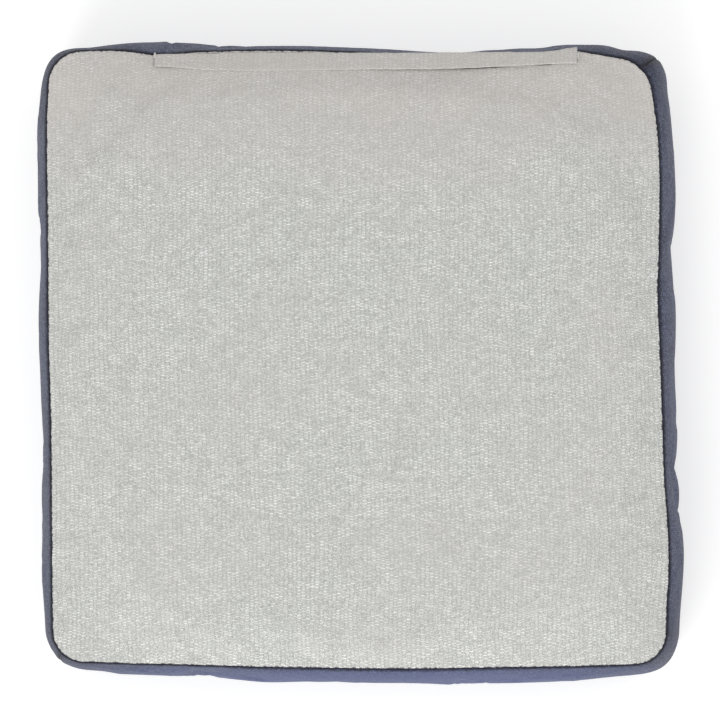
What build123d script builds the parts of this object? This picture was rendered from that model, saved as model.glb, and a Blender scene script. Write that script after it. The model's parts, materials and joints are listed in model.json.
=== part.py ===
from build123d import *
from math import hypot, pi, sin
import os

# Square box floor cushion: a zipped cotton cover over a fibre-filled insert.
#
# Millimetres, +Z up. The cushion lies flat with its zip side up and the zip along the +Y edge.
# The origin is the centre of the footprint, at floor level.

# ---- cover -------------------------------------------------------------------------------
SEAM_HALF = 294.0  # half the panel, measured at its seams
BULGE_HALF = 310.0  # half the cushion where the stuffed side band bows out
FLAT_HALF = 252.0  # half the flat that presses on the floor
UNDERSIDE_HALF = 282.0  # where the underside turns up to the lower seam
UNDERSIDE_Z = 4.0
LOWER_SEAM_Z = 12.0
UPPER_SEAM_Z = 128.0
CROWN_Z = 150.0
CROWN_FLAT_HALF = 60.0  # half the level middle of the crown
CORNER_RADIUS = 38.0  # plan radius of the sewn corners
CLOTH = 1.2  # heavy cotton canvas
BAND_STATIONS = (0.13, 0.3, 0.5, 0.7, 0.87)  # shares of the band's height
BAND_FULLNESS = 0.45  # power of the band's bulge: lower is squarer
CROWN_STATIONS = (0.87, 0.64, 0.32, 0.0)  # shares of the way back out to the shoulder
CROWN_FULLNESS = 4

# ---- insert ------------------------------------------------------------------------------
INSERT_INSET = 2.5  # from the outside of the cover to the outside of the casing
CASING = 0.8
GROOVE_OUT = 15.0  # how far the cut for the zip's groove stands out of the cover
GROOVE_END = 1.5  # room past each end of the tapes
GROOVE_SIDE = 0.5
GROOVE_FLOOR = 0.45  # room under the slider

# ---- zip, seen across its length: v runs inward from the seam, w stands out from the cloth
ZIP_X = 7.0  # middle of the zip along the edge
SHOULDER_RUN = 16.3  # plan width of the plain slope beside the upper seam
SHOULDER_RISE = 7.6
OPENING_LENGTH = 406.0  # a 16 inch zip opening
LIP_V = 1.5  # cloth left standing beside the seam
MOUTH_V = 10.5  # hemmed far edge of the opening
CHAIN_V = 6.0  # centre line of the coils
CHAIN_HALF = 197.0  # coils, between the stops
TAPE = 0.5
TAPE_W = -5.15  # underside of the tapes
TAPE_HALF = 204.5
TAPE_SEWN = 4.3  # width of the lower tape that lies under the hem
TAPE_RISE = 0.3  # lean of the lower tape where it climbs to the hem
TAPE_FOOT_CLEAR = 0.4  # from the slider to the foot of that rise
TAPE_HEAD_CLEAR = 0.2  # from the hemmed edge to its head
UPPER_TAPE_FOOT = (2.3, 1.7)  # v of the upper tape's two faces at the foot of its rise
UPPER_TAPE_HEAD = (1.5, 0.95)  # and at its head, under the seam
UPPER_TAPE_HEAD_W = -1.35
COIL_WIDTH = 1.6
COIL_HEIGHT = 1.6
COIL_SPLIT = 0.8  # half the slot between the two coils
COIL_ROUNDING = 0.5
STOP_LENGTH = 3.0
TOP_STOP_ROUNDING = 0.4
BOTTOM_STOP_ROUNDING = 0.6
PLAY = 0.3  # clearance between sliding pieces

# ---- slider and pull tab -----------------------------------------------------------------
SLIDER_LENGTH = 9.0
SLIDER_WIDTH = 6.6
SLIDER_CORNER = 1.6
PLATE = 0.7
POST_WIDTH = 1.0  # divider between the plates
POST_LENGTH = 3.0
POST_SETBACK = 0.4  # from the slider's mouth to the post
POST_ROUNDING = 0.45
FLANGE = 0.6
FLANGE_LENGTH = 4.4
FLANGE_SHIFT = 0.7  # the flanges sit towards the closed end
BAIL_LENGTH = 5.2
BAIL_WIDTH = 1.6
BAIL_RISE = 1.85
BAIL_WALL = 0.5
PIN_RADIUS = 0.4
TAB_LENGTH = 9.0  # from the pin to the tip
TAB_WIDTH = 3.6
TAB_THICKNESS = 0.9
TAB_EYE = 3.5  # far end of the eye, from the pin
ARM_WIDTH = 0.7  # each side of the eye
TAB_ROUNDING = 0.35
EYE_NEAR = 1.0  # how far the eye runs open past the pin
PIN_INSET = 0.3  # the pin stops this far inside each side of the tab

# ---- flap over the zip -------------------------------------------------------------------
FLAP_WIDTH = 18.0
FLAP_THICKNESS = 2.0  # two layers of canvas
FLAP_CLEAR = 0.3
FOLD_ROUNDING = 0.9
TACK_LENGTH = 11.0
TACK_WIDTH = 2.0
TACK_HEIGHT = 1.0
TACK_V = 1.0  # near end of a tack, from the seam
TACK_ROUNDING = 0.8

os.makedirs("parts", exist_ok=True)



def band_point(share):
    """(half-width, height) of the stuffed side band, share of the way up it."""
    bulge = (BULGE_HALF - SEAM_HALF) * sin(pi * share) ** BAND_FULLNESS
    return (SEAM_HALF + bulge, LOWER_SEAM_Z + (UPPER_SEAM_Z - LOWER_SEAM_Z) * share)


def crown_point(share):
    """(half-width, height) of the crown, share of the way from its level middle to the shoulder."""
    run = SEAM_HALF - SHOULDER_RUN - CROWN_FLAT_HALF
    drop = CROWN_Z - UPPER_SEAM_Z - SHOULDER_RISE
    return (CROWN_FLAT_HALF + run * share, CROWN_Z - drop * share**CROWN_FULLNESS)


# (half-width, height) of the outside of the cover, from the floor up over the crown
PROFILE = [
    (FLAT_HALF, 0.0),
    (UNDERSIDE_HALF, UNDERSIDE_Z),
    (SEAM_HALF, LOWER_SEAM_Z),
    *[band_point(share) for share in BAND_STATIONS],
    (SEAM_HALF, UPPER_SEAM_Z),
    (SEAM_HALF - SHOULDER_RUN, UPPER_SEAM_Z + SHOULDER_RISE),
    *[crown_point(share) for share in CROWN_STATIONS],
]

shoulder = Plane(
    origin=(ZIP_X, SEAM_HALF, UPPER_SEAM_Z),
    x_dir=(1, 0, 0),
    z_dir=(0, SHOULDER_RISE, SHOULDER_RUN),
)
outward = Axis(shoulder.origin, shoulder.z_dir)
seamward = Axis(shoulder.origin, shoulder.y_dir)


def inset(profile, distance):
    """The profile moved inward by distance, square to the surface."""
    first, last = profile[0], profile[-1]
    moved = [(first[0] - distance, first[1] + distance)]
    for before, point, after in zip(profile, profile[1:], profile[2:]):
        run = after[0] - before[0]
        rise = after[1] - before[1]
        length = hypot(run, rise)
        moved.append((point[0] - rise / length * distance, point[1] + run / length * distance))
    moved.append((last[0] - distance, last[1] - distance))
    return moved


def cushion_form(distance):
    """The solid inside the cover, distance in from its outer surface."""
    corner = CORNER_RADIUS - distance
    points = inset(PROFILE, distance) if distance else PROFILE
    with BuildPart() as form:
        for lower, upper in zip(points, points[1:]):
            with BuildSketch(Plane.XY.offset(lower[1])):
                RectangleRounded(2 * lower[0], 2 * lower[0], corner)
            with BuildSketch(Plane.XY.offset(upper[1])):
                RectangleRounded(2 * upper[0], 2 * upper[0], corner)
            loft(ruled=True)
    return form.part


def across_zip(v_from, v_to, w_from, w_to, half_length):
    """A bar along the zip: v inward from the seam, w out from the cloth."""
    with BuildPart(mode=Mode.PRIVATE) as bar:
        with BuildSketch(shoulder.offset(w_from)):
            with Locations((0, -(v_from + v_to) / 2)):
                Rectangle(2 * half_length, v_to - v_from)
        extrude(amount=w_to - w_from)
    return bar.part


cover_outside = cushion_form(0)
cover_inside = cushion_form(CLOTH)
casing_outside = cushion_form(INSERT_INSET)
casing_inside = cushion_form(INSERT_INSET + CASING)

# ---- groove that the zip presses into the insert ------------------------------------------
groove_w = TAPE_W - PLAY - PLATE - GROOVE_FLOOR
groove_v = MOUTH_V + GROOVE_SIDE
groove_half = TAPE_HALF + GROOVE_END
casing_groove = across_zip(-GROOVE_OUT, groove_v, groove_w, GROOVE_OUT, groove_half)
fill_groove = across_zip(
    -GROOVE_OUT, groove_v + CASING, groove_w - CASING, GROOVE_OUT, groove_half + CASING
)

# ---- fibre fill ---------------------------------------------------------------------------
with BuildPart() as fibre_fill:
    add(casing_inside)
    add(fill_groove, mode=Mode.SUBTRACT)

# ---- insert casing: two panels and a band, sewn at the same heights as the cover -----------
with BuildPart() as casing_shell:
    add(casing_outside)
    add(casing_groove, mode=Mode.SUBTRACT)
    add(fibre_fill.part, mode=Mode.SUBTRACT)

with BuildPart() as insert_bottom_panel:
    add(casing_shell.part)
    split(bisect_by=Plane.XY.offset(LOWER_SEAM_Z), keep=Keep.BOTTOM)

with BuildPart() as insert_band:
    add(casing_shell.part)
    split(bisect_by=Plane.XY.offset(LOWER_SEAM_Z), keep=Keep.TOP)
    split(bisect_by=Plane.XY.offset(UPPER_SEAM_Z - INSERT_INSET), keep=Keep.BOTTOM)

with BuildPart() as insert_top_panel:
    add(casing_shell.part)
    split(bisect_by=Plane.XY.offset(UPPER_SEAM_Z - INSERT_INSET), keep=Keep.TOP)

# ---- cover: front panel underneath, back panel on top, band between them --------------------
with BuildPart() as cover_shell:
    add(cover_outside)
    add(cover_inside, mode=Mode.SUBTRACT)

with BuildPart() as front_panel:
    add(cover_shell.part)
    split(bisect_by=Plane.XY.offset(LOWER_SEAM_Z), keep=Keep.BOTTOM)

zip_mouth = across_zip(LIP_V, MOUTH_V, -GROOVE_OUT, GROOVE_OUT, OPENING_LENGTH / 2)
with BuildPart() as back_panel:
    add(cover_shell.part)
    split(bisect_by=Plane.XY.offset(UPPER_SEAM_Z), keep=Keep.TOP)
    add(zip_mouth, mode=Mode.SUBTRACT)

# The band is two strips, joined at the far right and near left corners.
corner_to_corner = Plane(origin=(0, 0, 0), z_dir=(1, -1, 0))
with BuildPart() as side_band_near_right:
    add(cover_shell.part)
    split(bisect_by=Plane.XY.offset(LOWER_SEAM_Z), keep=Keep.TOP)
    split(bisect_by=Plane.XY.offset(UPPER_SEAM_Z), keep=Keep.BOTTOM)
    split(bisect_by=corner_to_corner, keep=Keep.TOP)

with BuildPart() as side_band_far_left:
    add(cover_shell.part)
    split(bisect_by=Plane.XY.offset(LOWER_SEAM_Z), keep=Keep.TOP)
    split(bisect_by=Plane.XY.offset(UPPER_SEAM_Z), keep=Keep.BOTTOM)
    split(bisect_by=corner_to_corner, keep=Keep.BOTTOM)

# ---- zip tapes: flat under the coils, rising to where each is sewn ---------------------------
zip_end = Plane(
    origin=shoulder.origin - shoulder.x_dir * TAPE_HALF,
    x_dir=-shoulder.y_dir,
    z_dir=-shoulder.x_dir,
)
tape_top = TAPE_W + TAPE
tape_foot = CHAIN_V + SLIDER_WIDTH / 2 + TAPE_FOOT_CLEAR
tape_head = MOUTH_V + TAPE_HEAD_CLEAR
with BuildPart() as zip_tape_upper:
    with BuildSketch(zip_end):
        with BuildLine():
            Polyline(
                (CHAIN_V - COIL_SPLIT, TAPE_W),
                (CHAIN_V - COIL_SPLIT, tape_top),
                (UPPER_TAPE_FOOT[0], tape_top),
                (UPPER_TAPE_HEAD[0], UPPER_TAPE_HEAD_W),
                (UPPER_TAPE_HEAD[1], UPPER_TAPE_HEAD_W),
                (UPPER_TAPE_FOOT[1], TAPE_W),
                close=True,
            )
        make_face()
    extrude(amount=-2 * TAPE_HALF)

with BuildPart() as zip_tape_lower:
    with BuildSketch(zip_end):
        with BuildLine():
            Polyline(
                (CHAIN_V + COIL_SPLIT, TAPE_W),
                (CHAIN_V + COIL_SPLIT, tape_top),
                (tape_foot, tape_top),
                (tape_head, -CLOTH),
                (tape_head + TAPE_SEWN, -CLOTH),
                (tape_head + TAPE_SEWN, -CLOTH - TAPE),
                (tape_head + TAPE_RISE, -CLOTH - TAPE),
                (tape_foot + TAPE_RISE, TAPE_W),
                close=True,
            )
        make_face()
    extrude(amount=-2 * TAPE_HALF)

# ---- coils: one strand along each tape -------------------------------------------------------
coil_top = tape_top + COIL_HEIGHT
strand_near = CHAIN_V - COIL_SPLIT - COIL_WIDTH
strand_far = CHAIN_V + COIL_SPLIT
with BuildPart() as zip_coil_upper:
    with BuildSketch(shoulder.offset(tape_top)):
        with Locations((0, -strand_near - COIL_WIDTH / 2)):
            Rectangle(2 * CHAIN_HALF, COIL_WIDTH)
    extrude(amount=COIL_HEIGHT)
    fillet(zip_coil_upper.faces().sort_by(outward)[-1].edges().filter_by(Axis.X), COIL_ROUNDING)

with BuildPart() as zip_coil_lower:
    with BuildSketch(shoulder.offset(tape_top)):
        with Locations((0, -strand_far - COIL_WIDTH / 2)):
            Rectangle(2 * CHAIN_HALF, COIL_WIDTH)
    extrude(amount=COIL_HEIGHT)
    fillet(zip_coil_lower.faces().sort_by(outward)[-1].edges().filter_by(Axis.X), COIL_ROUNDING)

# ---- stops at the two ends of the chain -------------------------------------------------------
stop_middle = CHAIN_HALF + PLAY + STOP_LENGTH / 2
with BuildPart() as zip_top_stops:
    with BuildSketch(shoulder.offset(tape_top)):
        with Locations(
            (-stop_middle, -strand_near - COIL_WIDTH / 2),
            (-stop_middle, -strand_far - COIL_WIDTH / 2),
        ):
            RectangleRounded(STOP_LENGTH, COIL_WIDTH, TOP_STOP_ROUNDING)
    extrude(amount=COIL_HEIGHT)

with BuildPart() as zip_bottom_stop:
    with BuildSketch(shoulder.offset(tape_top)):
        with Locations((stop_middle, -CHAIN_V)):
            RectangleRounded(STOP_LENGTH, 2 * (COIL_SPLIT + COIL_WIDTH), BOTTOM_STOP_ROUNDING)
    extrude(amount=COIL_HEIGHT)

# ---- slider: two plates on a divider post, side flanges and a bail ------------------------------
slider_u = -CHAIN_HALF + PLAY + SLIDER_LENGTH / 2
lower_plate_w = TAPE_W - PLAY - PLATE
upper_plate_w = coil_top + PLAY
plate_top = upper_plate_w + PLATE
post_u = slider_u - SLIDER_LENGTH / 2 + POST_LENGTH / 2 + POST_SETBACK
flange_v = COIL_SPLIT + COIL_WIDTH + PLAY + FLANGE / 2
flange_foot = tape_top + PLAY
with BuildPart() as zip_slider:
    with BuildSketch(shoulder.offset(lower_plate_w), shoulder.offset(upper_plate_w)):
        with Locations((slider_u, -CHAIN_V)):
            RectangleRounded(SLIDER_LENGTH, SLIDER_WIDTH, SLIDER_CORNER)
    extrude(amount=PLATE)
    with BuildSketch(shoulder.offset(lower_plate_w)):
        with Locations((post_u, -CHAIN_V)):
            RectangleRounded(POST_LENGTH, POST_WIDTH, POST_ROUNDING)
    extrude(amount=plate_top - lower_plate_w)
    with BuildSketch(shoulder.offset(flange_foot)):
        with Locations(
            (slider_u + FLANGE_SHIFT, -CHAIN_V - flange_v),
            (slider_u + FLANGE_SHIFT, -CHAIN_V + flange_v),
        ):
            Rectangle(FLANGE_LENGTH, FLANGE)
    extrude(amount=plate_top - flange_foot)
    with BuildSketch(shoulder.offset(plate_top)):
        with Locations((slider_u, -CHAIN_V)):
            Rectangle(BAIL_LENGTH, BAIL_WIDTH)
    extrude(amount=BAIL_RISE)
    with BuildSketch(shoulder.offset(plate_top)):
        with Locations((slider_u, -CHAIN_V)):
            Rectangle(BAIL_LENGTH - 2 * BAIL_WALL, BAIL_WIDTH)
    extrude(amount=BAIL_RISE - BAIL_WALL, mode=Mode.SUBTRACT)

# ---- pull tab: a plate with an eye, hung on a pin under the bail ----------------------------------
pin_w = plate_top + PLAY + PIN_RADIUS
tab_base = shoulder.offset(pin_w - TAB_THICKNESS / 2)
pin_start = shoulder.from_local_coords((slider_u, -CHAIN_V - TAB_WIDTH / 2 + PIN_INSET, pin_w))
with BuildPart() as pull_tab:
    with BuildSketch(tab_base):
        with Locations((slider_u + (TAB_LENGTH - PIN_RADIUS) / 2, -CHAIN_V)):
            RectangleRounded(TAB_LENGTH + PIN_RADIUS, TAB_WIDTH, TAB_ROUNDING)
        with Locations((slider_u + (TAB_EYE - EYE_NEAR) / 2, -CHAIN_V)):
            Rectangle(TAB_EYE + EYE_NEAR, TAB_WIDTH - 2 * ARM_WIDTH, mode=Mode.SUBTRACT)
    extrude(amount=TAB_THICKNESS)
    with BuildSketch(Plane(origin=pin_start, z_dir=shoulder.y_dir)):
        Circle(PIN_RADIUS)
    extrude(amount=TAB_WIDTH - 2 * PIN_INSET)

# ---- flap: canvas folded double, its fold towards the middle of the panel ---------------------------
with BuildPart() as zip_flap:
    with BuildSketch(shoulder.offset(FLAP_CLEAR)):
        with Locations((0, -FLAP_CLEAR - (FLAP_WIDTH - FLAP_CLEAR) / 2)):
            Rectangle(OPENING_LENGTH, FLAP_WIDTH - FLAP_CLEAR)
    extrude(amount=FLAP_THICKNESS)
    fillet(zip_flap.faces().sort_by(seamward)[0].edges().filter_by(Axis.X), FOLD_ROUNDING)

# ---- bar tacks: thread bars at the two ends of the flap ----------------------------------------------
tack_u = OPENING_LENGTH / 2 + FLAP_CLEAR + TACK_WIDTH / 2
with BuildPart() as bar_tack_left:
    with BuildSketch(shoulder):
        with Locations((-tack_u, -TACK_V - TACK_LENGTH / 2)):
            RectangleRounded(TACK_WIDTH, TACK_LENGTH, TACK_ROUNDING)
    extrude(amount=TACK_HEIGHT)

with BuildPart() as bar_tack_right:
    with BuildSketch(shoulder):
        with Locations((tack_u, -TACK_V - TACK_LENGTH / 2)):
            RectangleRounded(TACK_WIDTH, TACK_LENGTH, TACK_ROUNDING)
    extrude(amount=TACK_HEIGHT)

# ---- write every piece ----------------------------------------------------------------------------------
pieces = {
    "fibre_fill": fibre_fill,
    "insert_bottom_panel": insert_bottom_panel,
    "insert_band": insert_band,
    "insert_top_panel": insert_top_panel,
    "front_panel": front_panel,
    "back_panel": back_panel,
    "side_band_near_right": side_band_near_right,
    "side_band_far_left": side_band_far_left,
    "zip_tape_upper": zip_tape_upper,
    "zip_tape_lower": zip_tape_lower,
    "zip_coil_upper": zip_coil_upper,
    "zip_coil_lower": zip_coil_lower,
    "zip_top_stops": zip_top_stops,
    "zip_bottom_stop": zip_bottom_stop,
    "zip_slider": zip_slider,
    "pull_tab": pull_tab,
    "zip_flap": zip_flap,
    "bar_tack_left": bar_tack_left,
    "bar_tack_right": bar_tack_right,
}
for name, piece in pieces.items():
    piece.part.label = name
    export_step(piece.part, f"parts/{name}.step")

# Places that the joints need, in millimetres.
tab_pivot = shoulder.from_local_coords((slider_u, -CHAIN_V, pin_w))
print("slider travel", round(2 * (CHAIN_HALF - PLAY) - SLIDER_LENGTH, 3))
print("tab pivot", tab_pivot)
print("zip across direction", shoulder.y_dir, "outward", shoulder.z_dir)
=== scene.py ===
"""Blender scene of the floor cushion: sewn cover, zip with its flap, insert, light and camera.

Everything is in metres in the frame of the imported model: +Z up, zip along the +Y edge.
The far side is +Y, the near side -Y, the left -X and the right +X.
"""

import json
import math

import bpy
import numpy as np
from mathutils import Matrix, Vector

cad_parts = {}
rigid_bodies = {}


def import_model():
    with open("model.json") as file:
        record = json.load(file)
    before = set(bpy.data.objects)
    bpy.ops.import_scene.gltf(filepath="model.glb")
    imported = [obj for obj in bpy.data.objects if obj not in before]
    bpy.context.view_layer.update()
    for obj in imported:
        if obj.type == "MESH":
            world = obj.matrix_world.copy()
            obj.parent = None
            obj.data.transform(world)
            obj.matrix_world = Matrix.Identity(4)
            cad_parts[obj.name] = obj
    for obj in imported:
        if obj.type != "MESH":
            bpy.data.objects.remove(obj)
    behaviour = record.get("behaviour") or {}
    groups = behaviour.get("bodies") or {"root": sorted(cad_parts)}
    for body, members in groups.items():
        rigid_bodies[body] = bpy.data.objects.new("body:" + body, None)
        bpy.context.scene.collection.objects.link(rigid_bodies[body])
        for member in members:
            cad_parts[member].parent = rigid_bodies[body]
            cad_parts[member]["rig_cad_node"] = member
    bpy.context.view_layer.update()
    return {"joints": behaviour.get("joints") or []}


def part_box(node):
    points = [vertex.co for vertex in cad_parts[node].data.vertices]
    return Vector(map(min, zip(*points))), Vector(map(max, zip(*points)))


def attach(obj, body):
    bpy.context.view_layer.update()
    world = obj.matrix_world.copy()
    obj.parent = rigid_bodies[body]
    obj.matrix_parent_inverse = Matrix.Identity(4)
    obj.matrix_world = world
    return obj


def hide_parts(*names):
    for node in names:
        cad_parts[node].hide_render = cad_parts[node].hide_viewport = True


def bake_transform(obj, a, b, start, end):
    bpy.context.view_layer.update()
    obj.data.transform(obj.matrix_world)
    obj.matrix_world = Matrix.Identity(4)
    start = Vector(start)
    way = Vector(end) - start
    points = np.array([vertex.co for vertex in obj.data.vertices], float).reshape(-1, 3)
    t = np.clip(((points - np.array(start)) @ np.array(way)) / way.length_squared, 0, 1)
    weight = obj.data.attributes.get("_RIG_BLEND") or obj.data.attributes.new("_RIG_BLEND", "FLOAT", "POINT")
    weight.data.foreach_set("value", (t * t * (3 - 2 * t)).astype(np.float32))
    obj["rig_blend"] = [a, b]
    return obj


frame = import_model()
joints = {joint["name"]: joint for joint in frame["joints"]}

MM = 0.001
X, Y, Z = 0, 1, 2

# ---- places read from the frame -------------------------
UPPER_SEAM_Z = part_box("back_panel")[0].z
LOWER_SEAM_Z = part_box("front_panel")[1].z
SEAM_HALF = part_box("back_panel")[1].x
CROWN_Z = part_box("back_panel")[1].z

# The zip's own directions: u along it, v inward from the seam, w out of the cloth.
ZIP_ORIGIN = np.array(joints["flap_lift"]["pos_m"])
ZIP_U = np.array((1.0, 0.0, 0.0))
ZIP_V = np.array(joints["tab_swing"]["axis"])
ZIP_W = np.cross(ZIP_V, ZIP_U)
ZIP_HALF = (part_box("zip_flap")[1].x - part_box("zip_flap")[0].x) / 2
CHAIN_HALF = (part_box("zip_coil_upper")[1].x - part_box("zip_coil_upper")[0].x) / 2
CHAIN_V = 6.0 * MM  # centre line of the coils
LIP_V = 1.5 * MM  # cloth left beside the seam
MOUTH_V = 10.5 * MM  # hemmed edge of the zip's opening
TAPE_TOP_W = -4.65 * MM
COIL_HEIGHT = 1.6 * MM

# ---- cover ----------------------------------------------
PANEL_CELLS = 96
BAND_ROWS = 18
SEAM_CORNER = 30 * MM  # plan radius of the seam
CROWN_REACH = 38 * MM  # how quickly the panel rises from its seam
CROWN = CROWN_Z - UPPER_SEAM_Z - 2 * MM
UNDERSIDE_REACH = 16 * MM
UNDERSIDE_FULLNESS = 1.08  # over 1, the middle lies flat on the floor
BELLY = 13 * MM  # how far the side band bows out
CLOTH = 1.0 * MM

# ---- flap -----------------------------------------------
FLAP_WIDTH = 18.2 * MM  # in the middle
FLAP_END_WIDTH = 13.3 * MM
FLAP_CLOTH = 0.75 * MM
FLAP_TOP_W = 1.8 * MM  # middle of its upper layer
FLAP_BASE_W = 0.8 * MM  # middle of its lower layer
FLAP_LEFT = -199.5 * MM  # u of its left end, under the bar tack
FLAP_RIGHT = ZIP_HALF + 3.0 * MM
MOUTH_LEFT = -197.2 * MM
MOUTH_RIGHT = ZIP_HALF + 6.2 * MM  # measured on the flat cloth: the seams draw it back by about 6 mm
HEM_ROLL = 1.2 * MM
HEM_DROP = 1.0 * MM


def zip_point(u, v, w):
    """The place at u, v, w of the zip's directions. Takes numbers or arrays."""
    u, v, w = np.broadcast_arrays(u, v, w)
    return ZIP_ORIGIN + u[..., None] * ZIP_U + v[..., None] * ZIP_V + w[..., None] * ZIP_W


def hump(t, centre, width):
    """A smooth bump of height 1."""
    return np.exp(-(((t - centre) / width) ** 2))


def smoothstep(t, low, high):
    t = np.clip((t - low) / (high - low), 0, 1)
    return t * t * (3 - 2 * t)


# How far each side of the upper panel stands out of a true square. t runs -1 to 1 along the
# side, towards +X or +Y.
def seam_left(t):
    return (-1.2 + 3.6 * t + 1.5 * smoothstep(t, -0.25, 0.1) - 2.5 * hump(t, 0.95, 0.12)) * MM


def seam_right(t):
    dents = 2.3 * hump(t, 0.2, 0.13) + 1.3 * hump(t, 0.0, 0.2)
    swells = 2.8 * hump(t, -0.57, 0.14) + 2.4 * hump(t, 0.66, 0.17) + 1.5 * hump(t, -0.7, 0.12)
    return (-0.8 - 3.6 * t - dents + swells) * MM


def seam_far(t):
    swells = 3.2 * hump(t, -0.83, 0.13) + 1.8 * hump(t, -0.3, 0.25)
    swells = swells + 3.0 * hump(t, 0.7, 0.06) + 2.4 * hump(t, 0.77, 0.08)
    dents = 3.2 * hump(t, -0.62, 0.07) + 6.4 * hump(t, 0.34, 0.26)
    return (2.2 + swells - dents) * MM


def seam_near(t):
    bumps = 1.0 * hump(t, 0.15, 0.25) - 1.3 * hump(t, -0.7, 0.25)
    return (0.8 - 5.0 * (t - 0.15) ** 2 + bumps) * MM


# How far the side band bows out of the seam at mid height, over and above BELLY.
def belly_left(t):
    return (-0.4 + 1.8 * hump(t, 0.05, 0.3) - 1.2 * hump(t, 0.39, 0.1) - 1.0 * hump(t, 0.62, 0.15)) * MM


def belly_right(t):
    dents = 2.0 * hump(t, 0.3, 0.08) + 2.0 * hump(t, -0.43, 0.1)
    swells = 4.5 * hump(t, 0.18, 0.16) + 1.2 * hump(t, -0.19, 0.1) + 3.5 * hump(t, 0.87, 0.12)
    return (-1.0 + swells - dents) * MM


def belly_far(t):
    swells = 6.7 * hump(t, -0.64, 0.14) + 2.0 * hump(t, -0.63, 0.05) + 1.2 * hump(t, 0.3, 0.2)
    swells = swells + 2.0 * hump(t, 0.56, 0.06) + 4.0 * hump(t, 0.85, 0.09) + 1.5 * hump(t, 0.83, 0.05)
    dents = 2.8 * hump(t, -0.86, 0.08) + 1.6 * hump(t, -0.42, 0.08) + 1.6 * hump(t, 0.58, 0.12)
    return (-2.4 + swells - dents) * MM


def belly_near(t):
    dents = 5.0 * hump(t, -0.85, 0.2) + 4.5 * hump(t, -0.55, 0.2) + 1.5 * hump(t, 0.7, 0.2)
    return (-1.2 + 0.8 * hump(t, 0.15, 0.1) - dents - 3.0 * hump(t, 0.95, 0.18)) * MM


# How far each corner of the seam is drawn across, and how far the band bows out there:
# side in x, side in y, x, y, belly.
CORNERS = (
    (-1, 1, 0.0, 0.0, 5.5 * MM),
    (1, 1, -9.5 * MM, -12.0 * MM, 13.0 * MM),
    (-1, -1, 0.0, 0.0, 1.2 * MM),
    (1, -1, 0.0, 0.0, 3.0 * MM),
)
CORNER_SHARPNESS = 8
CORNER_TUCK = 0.3  # share of the belly that a corner loses


def plan_warp(x, y):
    """Moves plan points so that the four sides follow their seam functions."""
    tx = x / SEAM_HALF
    ty = y / SEAM_HALF
    moved_x = x + seam_right(ty) * (1 + tx) / 2 - seam_left(ty) * (1 - tx) / 2
    moved_y = y + seam_far(tx) * (1 + ty) / 2 - seam_near(tx) * (1 - ty) / 2
    for side_x, side_y, shift_x, shift_y, _ in CORNERS:
        near = ((1 + side_x * tx) * (1 + side_y * ty) / 4) ** CORNER_SHARPNESS
        moved_x = moved_x + shift_x * near
        moved_y = moved_y + shift_y * near
    return moved_x, moved_y


def rounded_square(x, y, half, radius):
    """A square grid of half-width half, with its corners drawn in to quarter circles."""
    flat = half - radius
    corner_x = np.clip((np.abs(x) - flat) / radius, 0, 1)
    corner_y = np.clip((np.abs(y) - flat) / radius, 0, 1)
    in_corner = (corner_x > 0) & (corner_y > 0)
    round_x = flat + radius * corner_x * np.sqrt(1 - corner_y**2 / 2)
    round_y = flat + radius * corner_y * np.sqrt(1 - corner_x**2 / 2)
    return (
        np.sign(x) * np.where(in_corner, round_x, np.abs(x)),
        np.sign(y) * np.where(in_corner, round_y, np.abs(y)),
    )


def rise(x, y, reach):
    """0 on the seams, 1 in the middle of the panel."""
    height = np.ones_like(x)
    for from_seam in (SEAM_HALF - x, SEAM_HALF + x, SEAM_HALF - y, SEAM_HALF + y):
        height = height * (1 - np.exp(-np.maximum(from_seam, 0) / reach))
    return height


def ring_of(grid):
    """The border of a square grid, once round, from its near left corner towards +X."""
    return np.concatenate([grid[:-1, 0], grid[-1, :-1], grid[:0:-1, -1], grid[0, :0:-1]])


def unit(vectors):
    """Rows of vectors brought to length 1."""
    return vectors / np.maximum(np.linalg.norm(vectors, axis=-1), 1e-12)[..., None]


def outward_of(ring):
    """The outward direction at each plan point of a ring."""
    along = unit(np.roll(ring, -1, axis=0) - np.roll(ring, 1, axis=0))
    return np.stack([along[:, Y], -along[:, X]], -1)


def nearest_ring(size_x, size_y):
    """For each grid point of a panel, the place in its ring of the nearest border point."""
    i, j = np.meshgrid(np.arange(size_x), np.arange(size_y), indexing="ij")
    a, b = size_x - 1, size_y - 1
    to_near, to_far, to_left, to_right = j, b - j, i, a - i
    nearest = np.argmin(np.stack([to_near, to_right, to_far, to_left]), axis=0)
    return np.choose(nearest, [i, a + j, 2 * a + b - i, 2 * a + 2 * b - j]) % (2 * a + 2 * b)


def edge_distance(x, y):
    """Distance from the seam, on the flat cloth."""
    flat = SEAM_HALF - SEAM_CORNER
    corner_x = np.maximum(np.abs(x) - flat, 0)
    corner_y = np.maximum(np.abs(y) - flat, 0)
    straight = SEAM_HALF - np.maximum(np.abs(x), np.abs(y))
    rounded = SEAM_CORNER - np.hypot(corner_x, corner_y)
    return np.maximum(np.where((corner_x > 0) & (corner_y > 0), rounded, straight), 0)


# ---- the closed form of the cover -----------------------
lines = np.linspace(-SEAM_HALF, SEAM_HALF, PANEL_CELLS + 1)
grid_x, grid_y = np.meshgrid(lines, lines, indexing="ij")
cut_x, cut_y = rounded_square(grid_x, grid_y, SEAM_HALF, SEAM_CORNER)
plan_x, plan_y = plan_warp(cut_x, cut_y)
upper_panel = np.stack([plan_x, plan_y, UPPER_SEAM_Z + CROWN * rise(cut_x, cut_y, CROWN_REACH)], -1)
lower_drop = LOWER_SEAM_Z * np.minimum(UNDERSIDE_FULLNESS * rise(cut_x, cut_y, UNDERSIDE_REACH), 1)
lower_panel = np.stack([plan_x, plan_y, LOWER_SEAM_Z - lower_drop], -1)

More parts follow.
